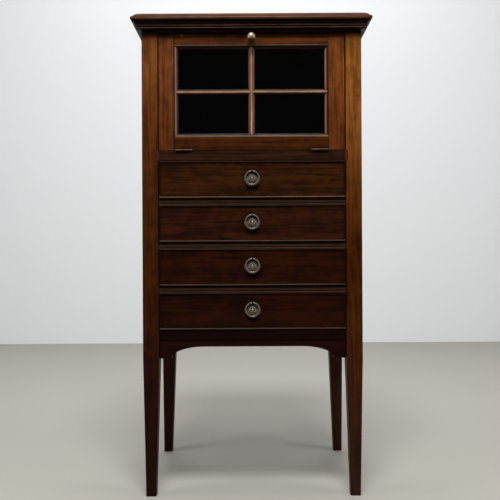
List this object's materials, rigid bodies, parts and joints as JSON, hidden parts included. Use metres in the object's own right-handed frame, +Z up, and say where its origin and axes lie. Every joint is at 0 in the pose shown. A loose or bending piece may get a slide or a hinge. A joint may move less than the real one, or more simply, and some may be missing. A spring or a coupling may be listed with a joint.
{
  "type": "haberdashery cabinet",
  "caption": "Tall narrow cabinet on square tapered legs: glazed drop-front compartment with a ball knob above shallow cock-beaded drawers with ring handles.",
  "frame": {"origin": "on the floor, under the middle of the top board", "axes": "+X to the right as the user faces the front, +Y to the back, +Z up"},
  "size_m": [0.532, 0.402, 1.073],
  "materials": {
    "mahogany": "french polished mahogany",
    "secondary_wood": "unpolished cedar and pine",
    "antique_brass": "aged, darkened brass",
    "bright_brass": "polished brass",
    "glass": "clear sheet glass"
  },
  "bodies": {
    "carcass": {"back_panel": "secondary_wood", "back_rails": "secondary_wood", "compartment_floor": "secondary_wood", "cornice_front": "mahogany", "cornice_returns": "mahogany", "drawer_dividers": "mahogany", "drawer_runners": "secondary_wood", "drawer_stops": "secondary_wood", "front_apron": "mahogany", "hinge_fixed_leaves": "antique_brass", "hinge_pins": "antique_brass", "lower_rail": "mahogany", "mid_rail": "mahogany", "post_back_left": "mahogany", "post_back_right": "mahogany", "post_front_left": "mahogany", "post_front_right": "mahogany", "side_aprons": "mahogany", "side_panel_left": "mahogany", "side_panel_right": "mahogany", "side_top_rails": "mahogany", "stay_stop_pegs": "antique_brass", "top_board": "mahogany", "top_rail": "mahogany"},
    "door": {"door_stile_left": "mahogany", "door_stile_right": "mahogany", "door_bottom_rail": "mahogany", "door_top_rail": "mahogany", "glazing_bar_upright": "mahogany", "glazing_bar_cross": "mahogany", "glass_panes": "glass", "glazing_beads": "mahogany", "hinge_door_leaves": "antique_brass", "door_stays": "antique_brass"},
    "turn_catch": {"door_knob": "bright_brass", "catch_tongue": "antique_brass"},
    "drawer_1": {"drawer_1_front": "mahogany", "drawer_1_cock_bead": "mahogany", "drawer_1_box": "secondary_wood", "drawer_1_bottom": "secondary_wood", "drawer_1_plate": "antique_brass"},
    "ring_1": {"drawer_1_ring": "antique_brass"},
    "drawer_2": {"drawer_2_front": "mahogany", "drawer_2_cock_bead": "mahogany", "drawer_2_box": "secondary_wood", "drawer_2_bottom": "secondary_wood", "drawer_2_plate": "antique_brass"},
    "ring_2": {"drawer_2_ring": "antique_brass"},
    "drawer_3": {"drawer_3_front": "mahogany", "drawer_3_cock_bead": "mahogany", "drawer_3_box": "secondary_wood", "drawer_3_bottom": "secondary_wood", "drawer_3_plate": "antique_brass"},
    "ring_3": {"drawer_3_ring": "antique_brass"},
    "drawer_4": {"drawer_4_front": "mahogany", "drawer_4_cock_bead": "mahogany", "drawer_4_box": "secondary_wood", "drawer_4_bottom": "secondary_wood", "drawer_4_plate": "antique_brass"},
    "ring_4": {"drawer_4_ring": "antique_brass"}
  },
  "joints": [
    {"name": "door_fall", "type": "hinge", "parent": "carcass", "child": "door", "pos_m": [0, -0.18, 0.77], "axis": [1, 0, 0], "range_deg": [0, 80]},
    {"name": "catch_turn", "type": "hinge", "parent": "door", "child": "turn_catch", "pos_m": [0, -0.1785, 1.0185], "axis": [0, -1, 0], "range_deg": [0, 90]},
    {"name": "drawer_1_slide", "type": "slide", "parent": "carcass", "child": "drawer_1", "axis": [0, -1, 0], "range_m": [0, 0.26]},
    {"name": "ring_1_lift", "type": "hinge", "parent": "drawer_1", "child": "ring_1", "pos_m": [0, -0.1824, 0.7236], "axis": [-1, 0, 0], "range_deg": [0, 90]},
    {"name": "drawer_2_slide", "type": "slide", "parent": "carcass", "child": "drawer_2", "axis": [0, -1, 0], "range_m": [0, 0.26]},
    {"name": "ring_2_lift", "type": "hinge", "parent": "drawer_2", "child": "ring_2", "pos_m": [0, -0.1824, 0.6262], "axis": [-1, 0, 0], "range_deg": [0, 90]},
    {"name": "drawer_3_slide", "type": "slide", "parent": "carcass", "child": "drawer_3", "axis": [0, -1, 0], "range_m": [0, 0.26]},
    {"name": "ring_3_lift", "type": "hinge", "parent": "drawer_3", "child": "ring_3", "pos_m": [0, -0.1824, 0.5288], "axis": [-1, 0, 0], "range_deg": [0, 90]},
    {"name": "drawer_4_slide", "type": "slide", "parent": "carcass", "child": "drawer_4", "axis": [0, -1, 0], "range_m": [0, 0.26]},
    {"name": "ring_4_lift", "type": "hinge", "parent": "drawer_4", "child": "ring_4", "pos_m": [0, -0.1824, 0.4314], "axis": [-1, 0, 0], "range_deg": [0, 90]}
  ]
}
